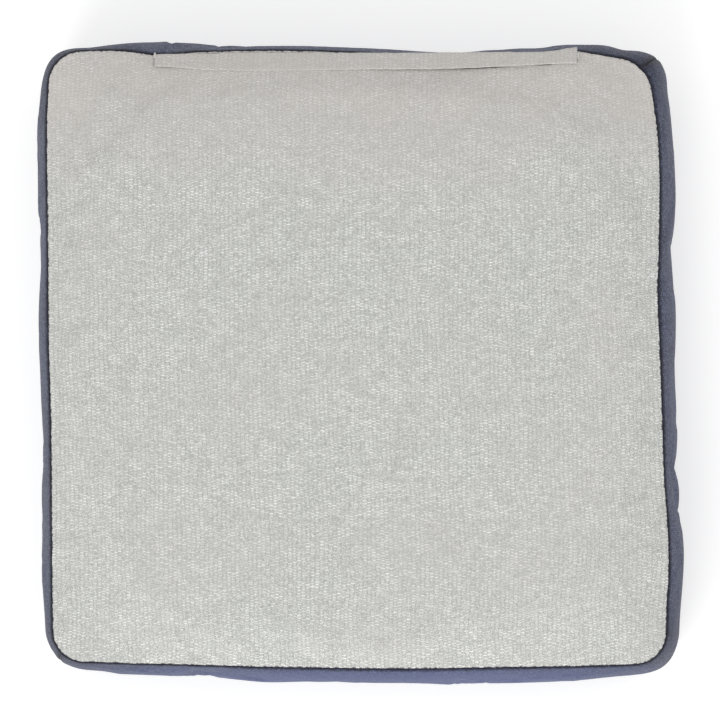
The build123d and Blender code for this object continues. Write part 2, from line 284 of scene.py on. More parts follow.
seam_ring = ring_of(np.stack([plan_x, plan_y], -1))
cut_ring = ring_of(np.stack([cut_x, cut_y], -1))
ring_count = len(seam_ring)
outward = outward_of(seam_ring)
ring_t = cut_ring / SEAM_HALF
BELLIES = ((X, 1, belly_right), (X, -1, belly_left), (Y, 1, belly_far), (Y, -1, belly_near))
belly = BELLY + sum(
    np.maximum(sign * outward[:, axis], 0) ** 2 * side(ring_t[:, 1 - axis])
    for axis, sign, side in BELLIES
)
cornering = np.abs(outward[:, X] * outward[:, Y]) * 2
belly = belly * (1 - CORNER_TUCK * cornering)
for side_x, side_y, _, _, extra in CORNERS:
    here = (np.sign(ring_t[:, X]) == side_x) & (np.sign(ring_t[:, Y]) == side_y)
    belly = belly + extra * here * cornering**2
band_t = np.linspace(0, 1, BAND_ROWS + 1)  # 0 at the lower seam, 1 at the upper
bow = (1 - (2 * band_t - 1) ** 2) ** 0.8
band = np.zeros((BAND_ROWS + 1, ring_count, 3))
band[:, :, :2] = seam_ring + outward * belly[:, None] * bow[:, None, None]
band[:, :, Z] = (LOWER_SEAM_Z + (UPPER_SEAM_Z - LOWER_SEAM_Z) * band_t)[:, None]


def closed_form(upper, lower, sides):
    """Vertices, faces and index grids of the closed cushion form."""
    count = (PANEL_CELLS + 1) ** 2
    upper_ids = np.arange(count).reshape(PANEL_CELLS + 1, PANEL_CELLS + 1)
    lower_ids = upper_ids + count
    side_ids = 2 * count + np.arange((BAND_ROWS - 1) * ring_count).reshape(BAND_ROWS - 1, ring_count)
    side_ids = np.concatenate([ring_of(lower_ids)[None], side_ids, ring_of(upper_ids)[None]])
    vertices = np.concatenate([upper.reshape(-1, 3), lower.reshape(-1, 3), sides[1:-1].reshape(-1, 3)])
    downward = quads(lower_ids)[:, ::-1]
    around = quads(side_ids, closed=True)[:, ::-1]
    faces = np.concatenate([quads(upper_ids), downward, around])
    return vertices, faces, (upper_ids, lower_ids, side_ids)


def quads(ids, closed=False):
    """Faces of an index grid, as rows of four. closed joins the last column to the first."""
    if closed:
        ids = np.concatenate([ids, ids[:, :1]], axis=1)
    return np.stack([ids[:-1, :-1], ids[1:, :-1], ids[1:, 1:], ids[:-1, 1:]], -1).reshape(-1, 4)


def placed(name, data):
    """A new object in the scene."""
    made = bpy.data.objects.new(name, data)
    bpy.context.scene.collection.objects.link(made)
    return made


def new_mesh(name, vertices, faces, cut=None, smooth=True):
    """An object from arrays. cut holds each vertex's place on the flat cloth, in metres."""
    mesh = bpy.data.meshes.new(name)
    if isinstance(faces, np.ndarray):
        faces = faces.tolist()
    mesh.from_pydata(np.asarray(vertices).tolist(), [], faces)
    mesh.polygons.foreach_set("use_smooth", [smooth] * len(mesh.polygons))
    if cut is not None:
        attribute = mesh.attributes.new("cut", "FLOAT_VECTOR", "POINT")
        attribute.data.foreach_set("vector", np.asarray(cut, np.float32).ravel())
    return placed(name, mesh)


def grid_mesh(name, points, cut):
    """A sheet from a grid of points. cut holds each point's place on the flat cloth."""
    ids = np.arange(points.shape[0] * points.shape[1]).reshape(points.shape[:2])
    return new_mesh(name, points.reshape(-1, 3), quads(ids)[:, ::-1], cut.reshape(-1, 3))


def vertex_places(mesh):
    places = np.zeros(len(mesh.vertices) * 3, np.float32)
    mesh.vertices.foreach_get("co", places)
    return places.reshape(-1, 3)


def cad_piece(node):
    return next(piece for piece in bpy.data.objects if piece.get("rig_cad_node") == node)


def apply_modifiers(piece):
    """Bakes the piece's modifiers into its mesh."""
    depsgraph = bpy.context.evaluated_depsgraph_get()
    mesh = bpy.data.meshes.new_from_object(piece.evaluated_get(depsgraph), depsgraph=depsgraph)
    piece.modifiers.clear()
    piece.data = mesh
    return piece


def thicken(piece, thickness, offset=-1):
    """Gives an open sheet its cloth's thickness: inward, or about its middle with offset 0."""
    solid = piece.modifiers.new("thickness", "SOLIDIFY")
    solid.thickness = thickness
    solid.offset = offset
    return apply_modifiers(piece)


# ---- pressure simulation: the fill pushes the sewn cloth out and its seams pucker ---
SIM_FRAMES = 14
SEAM_SHRINK = 0.035  # the stitching draws its seam up by this share
CLOTH_EASE = -0.012  # and leaves the cloth between a little too long
PUCKER_CAP = 5.5 * MM
DRIFT_SPREAD = 45 * MM
DRIFT_REACH = 60 * MM
FLATTENING = 0.55  # of the puckers, away from the seam
CALMING = 0.93  # of the puckers, beside the zip
CALM_V = (20 * MM, 50 * MM)  # where the calm fades, inward from the seam
CALM_Z = (90 * MM, 120 * MM)  # and down the band
FLOOR_GAP = 0.3 * MM


def inflate(vertices, faces, ids):
    """The vertices after the cloth has been blown up from inside, each moved by at most the cap."""
    piece = new_mesh("inflating", vertices, faces)
    upper_ids, lower_ids, side_ids = ids
    seams = piece.vertex_groups.new(name="seams")
    seams.add([int(i) for i in np.concatenate([ring_of(upper_ids), ring_of(lower_ids)])], 1.0, "REPLACE")
    seams.add([int(i) for i in np.concatenate([side_ids[1], side_ids[-2]])], 0.5, "REPLACE")
    cloth = piece.modifiers.new("cloth", "CLOTH")
    settings = cloth.settings
    settings.quality = 5
    settings.use_pressure = True
    settings.uniform_pressure_force = 4
    settings.vertex_group_shrink = "seams"
    settings.shrink_min = CLOTH_EASE
    settings.shrink_max = SEAM_SHRINK
    settings.effector_weights.gravity = 0
    cloth.point_cache.frame_end = SIM_FRAMES
    for frame_number in range(1, SIM_FRAMES + 1):
        bpy.context.scene.frame_set(frame_number)
    depsgraph = bpy.context.evaluated_depsgraph_get()
    blown = piece.evaluated_get(depsgraph).to_mesh()
    travel = vertex_places(blown).astype(float) - vertices
    bpy.data.objects.remove(piece)
    bpy.context.scene.frame_set(1)
    length = np.maximum(np.linalg.norm(travel, axis=1), 1e-9)[:, None]
    return vertices + travel * PUCKER_CAP * np.tanh(length / PUCKER_CAP) / length


def smooth_round(rows):
    """Rows of a closed ring with everything shorter than DRIFT_SPREAD taken out."""
    count = rows.shape[1]
    turns = np.arange(count // 2 + 1)
    keep = np.exp(-0.5 * (math.tau * turns * DRIFT_SPREAD / (8 * SEAM_HALF)) ** 2)
    return np.fft.irfft(np.fft.rfft(rows, axis=1) * keep[None, :, None], count, axis=1)


def steady(before, after, ids):
    """Takes the seams' slow drift out of the simulation, so that only its puckers stay."""
    travel = after - before
    drift = smooth_round(travel[ids[2]])
    drift[..., Z] = 0
    kept = travel.copy()
    kept[ids[2]] = travel[ids[2]] - drift
    edge = edge_distance(cut_x, cut_y)
    nearest = nearest_ring(PANEL_CELLS + 1, PANEL_CELLS + 1)
    fade = np.exp(-edge / DRIFT_REACH)[..., None]
    level = (1 - FLATTENING * smoothstep(edge, 12 * MM, 60 * MM))[..., None]
    for grid, row in ((ids[0], -1), (ids[1], 0)):
        kept[grid] = (travel[grid] - drift[row][nearest] * fade) * level
    return before + kept


def calm(before, after):
    """Takes most of the puckering out beside the zip, and lets no point go below the floor."""
    relative = before - ZIP_ORIGIN
    u = relative @ ZIP_U
    v = relative @ ZIP_V
    beside = 1 - smoothstep(np.abs(u), ZIP_HALF, ZIP_HALF + 30 * MM)
    beside = beside * (1 - smoothstep(v, *CALM_V)) * smoothstep(before[:, Z], *CALM_Z)
    moved = before + (after - before) * (1 - CALMING * beside)[:, None]
    moved[:, Z] = np.maximum(moved[:, Z], FLOOR_GAP)
    return moved


form, form_faces, form_ids = closed_form(upper_panel, lower_panel, band)
form = calm(form, steady(form, inflate(form, form_faces, form_ids), form_ids))
upper_form = form[form_ids[0]]
lower_form = form[form_ids[1]]
band_form = form[form_ids[2]]


# ---- resampling the simulated form onto finer lines -----
def resample(points, places, axis, closed=False):
    """Catmull-Rom values of a grid at fractional places along one axis."""
    points = np.moveaxis(points, axis, 0)
    if closed:
        padded = np.concatenate([points[-1:], points, points[:3]])
    else:
        before = 2 * points[:1] - points[1:2]
        after = 2 * points[-1:] - points[-2:-1]
        padded = np.concatenate([before, points, after, after])
    start = np.minimum(np.floor(places).astype(int), len(padded) - 4)
    f = (places - start).reshape((-1,) + (1,) * (points.ndim - 1))
    p0, p1, p2, p3 = (padded[start + k] for k in range(4))
    value = p1 + 0.5 * f * (p2 - p0 + f * (2 * p0 - 5 * p1 + 4 * p2 - p3 + f * (3 * (p1 - p2) + p3 - p0)))
    return np.moveaxis(value, 0, axis)


EDGE_STEPS = np.array([0.0, 0.07, 0.15, 0.25, 0.38, 0.54, 0.75])  # close lines beside a seam, in cells
LEAST_GAP = 0.07  # between two lines, in cells


def fine_lines(cells, extra=()):
    """Lines at half cells, closer beside both ends, with some extra ones."""
    middle = np.arange(1, cells - 1 + 0.25, 0.5)
    marks = np.concatenate([EDGE_STEPS, middle, cells - EDGE_STEPS[::-1]])
    for place in extra:
        marks = marks[np.abs(marks - place) > LEAST_GAP]
        marks = np.sort(np.append(marks, place))
    return marks


cell = 2 * SEAM_HALF / PANEL_CELLS
mouth_lines = [PANEL_CELLS - v / cell for v in np.arange(LIP_V, 16 * MM, 0.5 * MM)]
mouth_ends = (MOUTH_LEFT - HEM_ROLL, MOUTH_LEFT, MOUTH_RIGHT, MOUTH_RIGHT + HEM_ROLL)
zip_ends = [(ZIP_ORIGIN[X] + u + SEAM_HALF) / cell for u in mouth_ends]
x_lines = fine_lines(PANEL_CELLS, zip_ends)
y_lines = fine_lines(PANEL_CELLS, mouth_lines)
band_lines = fine_lines(BAND_ROWS)
ring_lines = np.concatenate(
    [
        x_lines[:-1],
        PANEL_CELLS + y_lines[:-1],
        3 * PANEL_CELLS - x_lines[:0:-1],
        4 * PANEL_CELLS - y_lines[:0:-1],
    ]
)


def fine_panel(points):
    return resample(resample(points, x_lines, 0), y_lines, 1)


def fine_band(points):
    return resample(resample(points, band_lines, 0), ring_lines, 1, closed=True)


# ---- seams: each cloth rolls over its edge and turns in ---
ROLL = 1.3 * MM
TURN_IN = 2.2 * MM
SEAM_PUFF = 0.45 * MM  # the cloth stands up beside its seam
SEAM_GATHER = 0.32 * MM
STRIP_TURN_IN = 1.6 * MM


def ripple(length_along, seed):
    """Small uneven gathers along a seam, about -1 to 1."""
    phases = np.random.default_rng(seed).uniform(0, math.tau, 5)
    waves = ((131, 0.3), (173, 0.26), (59, 0.3), (224, 0.2), (97, 0.25))
    turns = length_along / ring_length * math.tau
    return sum(size * np.sin(count * turns + phase) for (count, size), phase in zip(waves, phases))


def round_over(bend):
    """How far a quarter round has fallen, 0 to 1."""
    return 1 - np.sqrt(np.maximum(1 - bend**2, 0))


def roll_edge(points, distance, inward, ripple_value, depth=TURN_IN):
    """Turns the rows nearest the seam inward. distance is each point's distance from the seam."""
    bend = np.clip(1 - distance / ROLL, 0, 1)
    drop = ROLL * 0.75 * round_over(bend) + depth * smoothstep(bend, 0.88, 1.0)
    puff = SEAM_PUFF * hump(distance, 3.0 * MM, 2.2 * MM)
    gather = SEAM_GATHER * np.exp(-distance / (5 * MM)) * ripple_value
    return points + inward * (drop - puff - gather)[..., None]


ring_fine_xy = fine_panel(upper_form)
ring_edge = ring_of(ring_fine_xy)
steps = np.linalg.norm(np.roll(ring_edge, -1, axis=0) - ring_edge, axis=1)
ring_at = np.concatenate([[0], np.cumsum(steps)[:-1]])
ring_length = steps.sum()

fine_x, fine_y = np.meshgrid(-SEAM_HALF + cell * x_lines, -SEAM_HALF + cell * y_lines, indexing="ij")
panel_cut_x, panel_cut_y = rounded_square(fine_x, fine_y, SEAM_HALF, SEAM_CORNER)
panel_edge = edge_distance(panel_cut_x, panel_cut_y)
panel_ring = nearest_ring(len(x_lines), len(y_lines))
ring_out = outward_of(ring_of(np.stack([panel_cut_x, panel_cut_y], -1)))
ring_out = np.pad(ring_out, ((0, 0), (0, 1)))


def fold_v(u):
    """Where the flap is folded: wide in the middle, drawn in at both ends."""
    middle = smoothstep(u, -0.20, -0.13) - smoothstep(u, 0.07, 0.20)
    return FLAP_END_WIDTH + (FLAP_WIDTH - FLAP_END_WIDTH) * middle + 0.6 * MM * hump(u, -0.08, 0.05)


def mouth_v(u):
    """Where the panel is hemmed under the flap: wider at the right, where the seam pulls it back."""
    return np.minimum(fold_v(u) - 1.1 * MM, MOUTH_V + 2.0 * MM * smoothstep(u, 0.170, 0.192))


def hem_mouth(points, cut_x, cut_y):
    """Rolls the panel's cloth down over the mouth's edge."""
    u = cut_x - ZIP_ORIGIN[X]
    v = SEAM_HALF - cut_y
    past_edge = np.clip(v - mouth_v(u), 0, None)
    beside = np.clip(np.maximum(u - MOUTH_RIGHT, MOUTH_LEFT - u), 0, None)
    bend = np.clip(1 - np.hypot(past_edge, beside) / HEM_ROLL, 0, 1) * (v > LIP_V)
    return points - ZIP_W * HEM_DROP * round_over(bend)[..., None]


def panel_mesh(name, points, up, seed, hole=None):
    """A sewn panel: rolled at its seam, with the zip's mouth cut where hole says."""
    inward = unit(-0.55 * ring_out[panel_ring] - np.array((0, 0, 0.85 * up)))
    gathers = ripple(ring_at[panel_ring], seed)
    points = roll_edge(points, panel_edge, inward, gathers)
    if hole is not None:
        points = hem_mouth(points, panel_cut_x, panel_cut_y)
    ids = np.arange(points.shape[0] * points.shape[1]).reshape(points.shape[:2])
    faces = quads(ids)
    if up < 0:
        faces = faces[:, ::-1]
    cut = np.stack([panel_cut_x, panel_cut_y, panel_edge], -1).reshape(-1, 3)
    if hole is not None:
        faces = faces[~hole(cut[faces].mean(axis=1))]
    used = np.unique(faces)
    renumber = np.full(ids.size, -1)
    renumber[used] = np.arange(len(used))
    piece = new_mesh(name, points.reshape(-1, 3)[used], renumber[faces], cut[used])
    return thicken(piece, CLOTH)


def in_mouth(cut):
    u = cut[:, X] - ZIP_ORIGIN[X]
    v = SEAM_HALF - cut[:, Y]
    return (u > MOUTH_LEFT) & (u < MOUTH_RIGHT) & (v > LIP_V) & (v < mouth_v(u))


fine_upper = fine_panel(upper_form)
fine_lower = fine_panel(lower_form)
back_panel = panel_mesh("back_panel_canvas", fine_upper, 1, 11, hole=in_mouth)
front_panel = panel_mesh("front_panel_chambray", fine_lower, -1, 12)


# ---- side band: two strips that meet at the far right and near left corners ---
def band_strip(name, points, columns, seed):
    """One strip of the band, over the given columns of the ring."""
    height = (UPPER_SEAM_Z - LOWER_SEAM_Z) / BAND_ROWS
    low = (band_lines * height)[:, None]
    high = ((BAND_ROWS - band_lines) * height)[:, None]
    out = ring_out[None, columns]
    to_low = -0.8 * out + np.array((0, 0, 0.6))
    to_high = -0.8 * out - np.array((0, 0, 0.6))
    strip = points[:, columns]
    gathers = ripple(ring_at[columns], seed)[None, :]
    strip = roll_edge(strip, low, to_low, gathers)
    strip = roll_edge(strip, high, to_high, gathers)
    run = ring_at[columns]
    run = np.unwrap(run / ring_length * math.tau) * ring_length / (math.tau)
    from_end = np.minimum(run - run[0], run[-1] - run)
    strip = roll_edge(strip, from_end, -out, 0 * gathers, depth=STRIP_TURN_IN)
    edge = np.minimum(np.minimum(low, high), from_end)
    cut = np.stack(np.broadcast_arrays(run[None, :], low, edge), -1)
    return thicken(grid_mesh(name, strip, cut), CLOTH)


fine_sides = fine_band(band_form)
count_x = len(x_lines) - 1
count_y = len(y_lines) - 1
columns_total = 2 * (count_x + count_y)
far_right = count_x + count_y
near_right_columns = np.arange(0, far_right + 1)
far_left_columns = np.arange(far_right, columns_total + 1) % columns_total
band_near_right = band_strip("side_band_near_right_chambray", fine_sides, near_right_columns, 13)
band_far_left = band_strip("side_band_far_left_chambray", fine_sides, far_left_columns, 14)


# ---- flap: one strip folded in two, caught in the seam ---
FLAP_STEPS = 260
RAISED_END = 36 * MM  # the last stretch on the right climbs over the seam
SUNK_END = 10 * MM  # the first stretch on the left is pressed down by its tack
LEFT_TWIST = 5.5 * MM  # the length over which each end twists open, short beside the pull tab
RIGHT_TWIST = 11 * MM
UNEVEN = 0.5 * MM  # how far the flap strays where it leaves the seam, at its fold and on top
UNEVEN_FOLD = 0.35 * MM
UNEVEN_TOP = 0.16 * MM
UNEVEN_TURNS = (61, 97, 143, 211, 322, 480)  # radians to the metre


def flap_mesh():
    """The folded strip, from the seam over the top, round its fold and back beneath."""
    u = np.linspace(FLAP_LEFT, FLAP_RIGHT, FLAP_STEPS + 1)
    wobble = np.random.default_rng(21).uniform(0, math.tau, 6)
    uneven = sum(np.sin(u * k + p) for k, p in zip(UNEVEN_TURNS, wobble)) / 6
    raised = smoothstep(u, FLAP_RIGHT - RAISED_END, FLAP_RIGHT + 6 * MM)
    sunk = 1 - smoothstep(u, FLAP_LEFT, FLAP_LEFT + SUNK_END)
    root = (0.25 - 1.6 * hump(u, -0.10, 0.07) - 4.8 * raised) * MM + UNEVEN * uneven
    fold = fold_v(u) + UNEVEN_FOLD * uneven
    nose = (FLAP_TOP_W - FLAP_BASE_W) / 2
    reach = fold - nose - root
    path = [(0 * u + root - 0.3 * MM, FLAP_BASE_W - 0.7 * MM), (root, FLAP_TOP_W - 0.8 * MM)]
    path += [(root + 0.35 * MM, FLAP_TOP_W - 0.3 * MM), (root + 0.9 * MM, FLAP_TOP_W - 0.05 * MM)]
    for share in np.linspace(0.16, 1, 10):
        path.append((root + reach * share, FLAP_TOP_W))
    middle_w = (FLAP_TOP_W + FLAP_BASE_W) / 2
    for angle in np.linspace(math.pi / 2, -math.pi / 2, 8)[1:]:
        path.append((root + reach + nose * math.cos(angle), middle_w + nose * math.sin(angle)))
    for share in np.linspace(0.9, 0.12, 8):
        path.append((root + reach * share, FLAP_BASE_W))
    v = np.stack([np.broadcast_to(place[0], u.shape) for place in path], 1)
    w = np.stack([np.broadcast_to(place[1], u.shape) for place in path], 1)
    upper = w > FLAP_TOP_W - 0.4 * MM
    w = w + upper * (UNEVEN_TOP * np.roll(uneven, 17)[:, None] + 0.55 * MM * raised[:, None])
    w = w - (0.3 + 0.3 * upper) * MM * sunk[:, None]
    points = zip_point(u[:, None], v, w)
    lengths = np.cumsum(np.hypot(np.diff(v), np.diff(w)), axis=1)
    travelled = np.concatenate([np.zeros((len(u), 1)), lengths], axis=1)
    cut = np.stack([np.broadcast_to(u[:, None], v.shape), SEAM_HALF + 0.02 - travelled, v * 0 + 0.1], -1)
    return thicken(grid_mesh("zip_flap_canvas", points, cut), FLAP_CLOTH, offset=0)


def tacked(piece):
    """Lets the flap's turning die out towards its tacked ends."""
    weights = np.zeros(len(piece.data.vertices), np.float32)
    attribute = piece.data.attributes["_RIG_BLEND"]
    attribute.data.foreach_get("value", weights)
    u = vertex_places(piece.data)[:, X] - ZIP_ORIGIN[X]
    weights *= smoothstep(u - FLAP_LEFT, 0.0, LEFT_TWIST) * smoothstep(FLAP_RIGHT - u, 0.0, RIGHT_TWIST)
    attribute.data.foreach_set("value", weights.astype(np.float32))


# ---- zip: tapes, coils, thread --------------------------
def extruded(name, path, half, steps, thickness):
    """A strip along the zip: path is its section's middle line, as v and w pairs in mm."""
    u = np.linspace(-half, half, steps + 1)
    v = np.array([place[0] for place in path]) * MM
    w = np.array([place[1] for place in path]) * MM
    travelled = np.concatenate([[0], np.cumsum(np.hypot(np.diff(v), np.diff(w)))])
    points = zip_point(u[:, None], v[None], w[None])
    cut = np.stack(np.broadcast_arrays(u[:, None], travelled[None], 0.1), -1)
    return thicken(grid_mesh(name, points, cut), thickness, offset=0)


def tube(name, centre, radius, sides=5):
    """A thin round thread along rows of points. centre is one array of points for each run."""
    vertices, faces, count = [], [], 0
    for run in centre:
        ahead = unit(np.gradient(run, axis=0))
        side = unit(np.cross(ahead, ZIP_W + 0.013))  # never quite parallel to a thread
        up = np.cross(side, ahead)
        angles = np.linspace(0, math.tau, sides, endpoint=False)
        ring = side[:, None] * np.cos(angles)[None, :, None] + up[:, None] * np.sin(angles)[None, :, None]
        swell = np.ones(len(run))
        swell[0] = swell[-1] = 0.45
        vertices.append((run[:, None] + radius * swell[:, None, None] * ring).reshape(-1, 3))
        ids = count + np.arange(len(run) * sides).reshape(len(run), sides)
        faces += quads(ids, closed=True)[:, ::-1].tolist()
        faces.append(ids[0].tolist())
        faces.append(ids[-1][::-1].tolist())
        count += len(run) * sides
    return new_mesh(name, np.concatenate(vertices), faces)


COIL_PITCH = 1.15 * MM
COIL_WIRE = 0.3 * MM
COIL_MID_W = TAPE_TOP_W + COIL_HEIGHT / 2


def coil_mesh(name, near_v, head_v, shift):
    """One side of the chain: a flattened helix of nylon wire whose heads meet the other side's."""
    turns = int(2 * CHAIN_HALF / COIL_PITCH) - 1
    steps = 12
    angle = np.linspace(0, math.tau * turns, turns * steps + 1)
    u = -CHAIN_HALF + COIL_PITCH * (angle / (math.tau) + 0.5 + shift)
    middle = (near_v + head_v) / 2
    half = (head_v - near_v) / 2
    v = middle - half * np.cos(angle)
    w = COIL_MID_W + (COIL_HEIGHT / 2 - COIL_WIRE) * np.sin(angle) * (1 + 0.15 * np.cos(angle))
    return tube(name, [zip_point(u, v, w)], COIL_WIRE)


STITCH_V = MOUTH_V + 2.0 * MM
STITCH_W = 0.05 * MM
STITCH = 2.6 * MM
STITCH_GAP = 0.7 * MM
STITCH_THREAD = 0.2 * MM
STITCH_RISE = np.array([-1.6, 0.4, 0.8, 0.4, -1.6]) * STITCH_THREAD


def stitch_line(name):
    """A row of lockstitches along the zip."""
    along = STITCH * np.linspace(0, 1, len(STITCH_RISE))
    starts = np.arange(-ZIP_HALF, ZIP_HALF - STITCH, STITCH + STITCH_GAP)
    runs = [zip_point(start + along, STITCH_V, STITCH_W + STITCH_RISE) for start in starts]
    return tube(name, runs, STITCH_THREAD)


TACK_THREAD = 0.33 * MM


def bar_tack(name, side, first_v, last_v):
    """Close bars of thread over two core threads, across the end of the flap."""
    def height(v):
        """The cloth's outside under the thread. It falls away past the seam."""
        over_seam = np.minimum(v, 0)
        return 0.4 * MM - 180 * over_seam**2 + 1.1 * MM * smoothstep(v, 0.0, 1.5 * MM)

    middle = FLAP_LEFT - 0.1 * MM if side < 0 else FLAP_RIGHT + 0.8 * MM
    runs = []
    for offset in (-0.35 * MM, 0.35 * MM):
        v = np.linspace(first_v, last_v, 18)
        runs.append(zip_point(middle + offset + 0 * v, v, height(v)))
    for count, v in enumerate(np.arange(first_v, last_v, 0.62 * MM)):
        t = np.linspace(-1, 1, 7)
        across = middle + t * (1.0 * MM + 0.12 * MM * math.sin(7 * count))
        lift = TACK_THREAD * (1.7 - 2.4 * t**4)
        place = v + 0.3 * MM * t + 0 * across
        runs.append(zip_point(across, place, height(place) + lift))
    return tube(name, runs, TACK_THREAD, sides=6)


flap = flap_mesh()
TAPE_CLOTH = 0.5 * MM
TAPE_HALF = ZIP_HALF + 1.5 * MM
UPPER_TAPE = (
    (0.0, -5.8), (0.3, -3.7), (0.6, -2.1), (1.0, -1.7), (1.5, -2.1), (1.85, -3.1), (2.1, -4.3),
    (2.5, -4.8), (3.3, -4.9), (5.3, -4.9),
)
LOWER_TAPE = (
    (6.7, -4.9), (8.6, -4.9), (9.5, -4.85), (9.95, -4.4), (10.15, -3.2), (10.4, -1.9),
    (10.9, -1.5), (12.5, -1.45), (14.9, -1.45),
)
upper_tape = extruded("zip_tape_upper_cloth", UPPER_TAPE, TAPE_HALF, 80, TAPE_CLOTH)
lower_tape = extruded("zip_tape_lower_cloth", LOWER_TAPE, TAPE_HALF, 80, TAPE_CLOTH)
upper_coil = coil_mesh("zip_coil_upper_nylon", CHAIN_V - 2.1 * MM, CHAIN_V - 0.85 * MM, 0.0)
lower_coil = coil_mesh("zip_coil_lower_nylon", CHAIN_V + 2.1 * MM, CHAIN_V + 0.85 * MM, 0.5)
hem_stitches = stitch_line("zip_hem_stitches")
left_tack = bar_tack("bar_tack_left_thread", -1, -5.0 * MM, 4.5 * MM)
right_tack = bar_tack("bar_tack_right_thread", 1, 3.0 * MM, 9.0 * MM)


def softened(node, name, radius):
    """A finished copy of a small metal part, with the edges that tumbling and plating leave."""
    piece = placed(name, cad_piece(node).data.copy())
    weld = piece.modifiers.new("weld", "WELD")
    weld.merge_threshold = 0.01 * MM
    bevel = piece.modifiers.new("edges", "BEVEL")
    bevel.width = radius
    bevel.segments = 3
    bevel.limit_method = "ANGLE"
    bevel.angle_limit = math.radians(35)
    apply_modifiers(piece)
    piece.data.polygons.foreach_set("use_smooth", [True] * len(piece.data.polygons))
    return piece


slider = softened("zip_slider", "zip_slider_nickel", 0.12 * MM)
tab = softened("pull_tab", "pull_tab_nickel", 0.14 * MM)


# ---- insert: a plain casing full of fibre, inside the cover ---
def normals_of(vertices, faces):
    """Outward directions at the vertices of a closed form of four-sided faces."""
    corners = vertices[faces]
    face_normals = np.cross(corners[:, 2] - corners[:, 0], corners[:, 3] - corners[:, 1])
    total = np.zeros_like(vertices)
    for painted_corner_shade in range(4):
        np.add.at(total, faces[:, painted_corner_shade], face_normals)
    return unit(total)


CASING_GAP = 3.2 * MM  # from the cover's outside to the casing's
ZIP_POCKET = 5.4 * MM  # how much further the casing is pressed in under the zip
SEAM_GAP = 2.2 * MM  # and at the seams, whose turnings lie inside
FIBRE_GAP = 5.0 * MM

outward_normals = normals_of(form, form_faces)
from_zip = form - ZIP_ORIGIN
under_zip = 1 - smoothstep(np.abs(from_zip @ ZIP_U), ZIP_HALF + 2 * MM, ZIP_HALF + 12 * MM)
under_zip = under_zip * (1 - smoothstep(from_zip @ ZIP_V, 14 * MM, 22 * MM))
under_zip = under_zip * smoothstep(form[:, Z], 100 * MM, 122 * MM)
near_seam = np.zeros(len(form))
for ids in form_ids[:2]:
    near_seam[ring_of(ids)] = 1.0
pressed_in = ZIP_POCKET * under_zip + SEAM_GAP * near_seam
casing = form - outward_normals * (CASING_GAP + pressed_in)[:, None]
LUMPS = (((61, 23, 40), 0.3), ((-35, 71, 33), 1.9), ((90, -66, 81), 4.1), ((20, 118, -50), 2.2))
LUMP_DEPTH = 0.8 * MM
lumps = sum(np.sin(form @ np.array(direction) + phase) for direction, phase in LUMPS)
fibre_gap = FIBRE_GAP + LUMP_DEPTH * (1 + lumps / 4) + pressed_in
fibre = new_mesh("fibre_fill_wadding", form - outward_normals * fibre_gap[:, None], form_faces)


def casing_piece(name, ids, cut, closed=False, flip=False):
    """One panel of the casing, as an open sheet with its cloth's thickness."""
    points = casing[ids]
    faces = quads(np.arange(ids.size).reshape(ids.shape), closed=closed)
    if flip:
        faces = faces[:, ::-1]
    return thicken(new_mesh(name, points.reshape(-1, 3), faces, cut.reshape(-1, 3)), 0.4 * MM)


flat_cut = np.stack([grid_x, grid_y, edge_distance(grid_x, grid_y)], -1)
casing_top = casing_piece("insert_top_panel_lining", form_ids[0], flat_cut)
casing_bottom = casing_piece("insert_bottom_panel_lining", form_ids[1], flat_cut, flip=True)
ring_step = 8 * SEAM_HALF / ring_count
band_place = (np.arange(ring_count) * ring_step)[None]
band_up = (band_t * (UPPER_SEAM_Z - LOWER_SEAM_Z))[:, None]
band_edge = (np.minimum(band_t, 1 - band_t) * (UPPER_SEAM_Z - LOWER_SEAM_Z))[:, None]
band_cut = np.stack(np.broadcast_arrays(band_place, band_up, band_edge), -1)
casing_band = casing_piece("insert_band_lining", form_ids[2], band_cut, closed=True, flip=True)


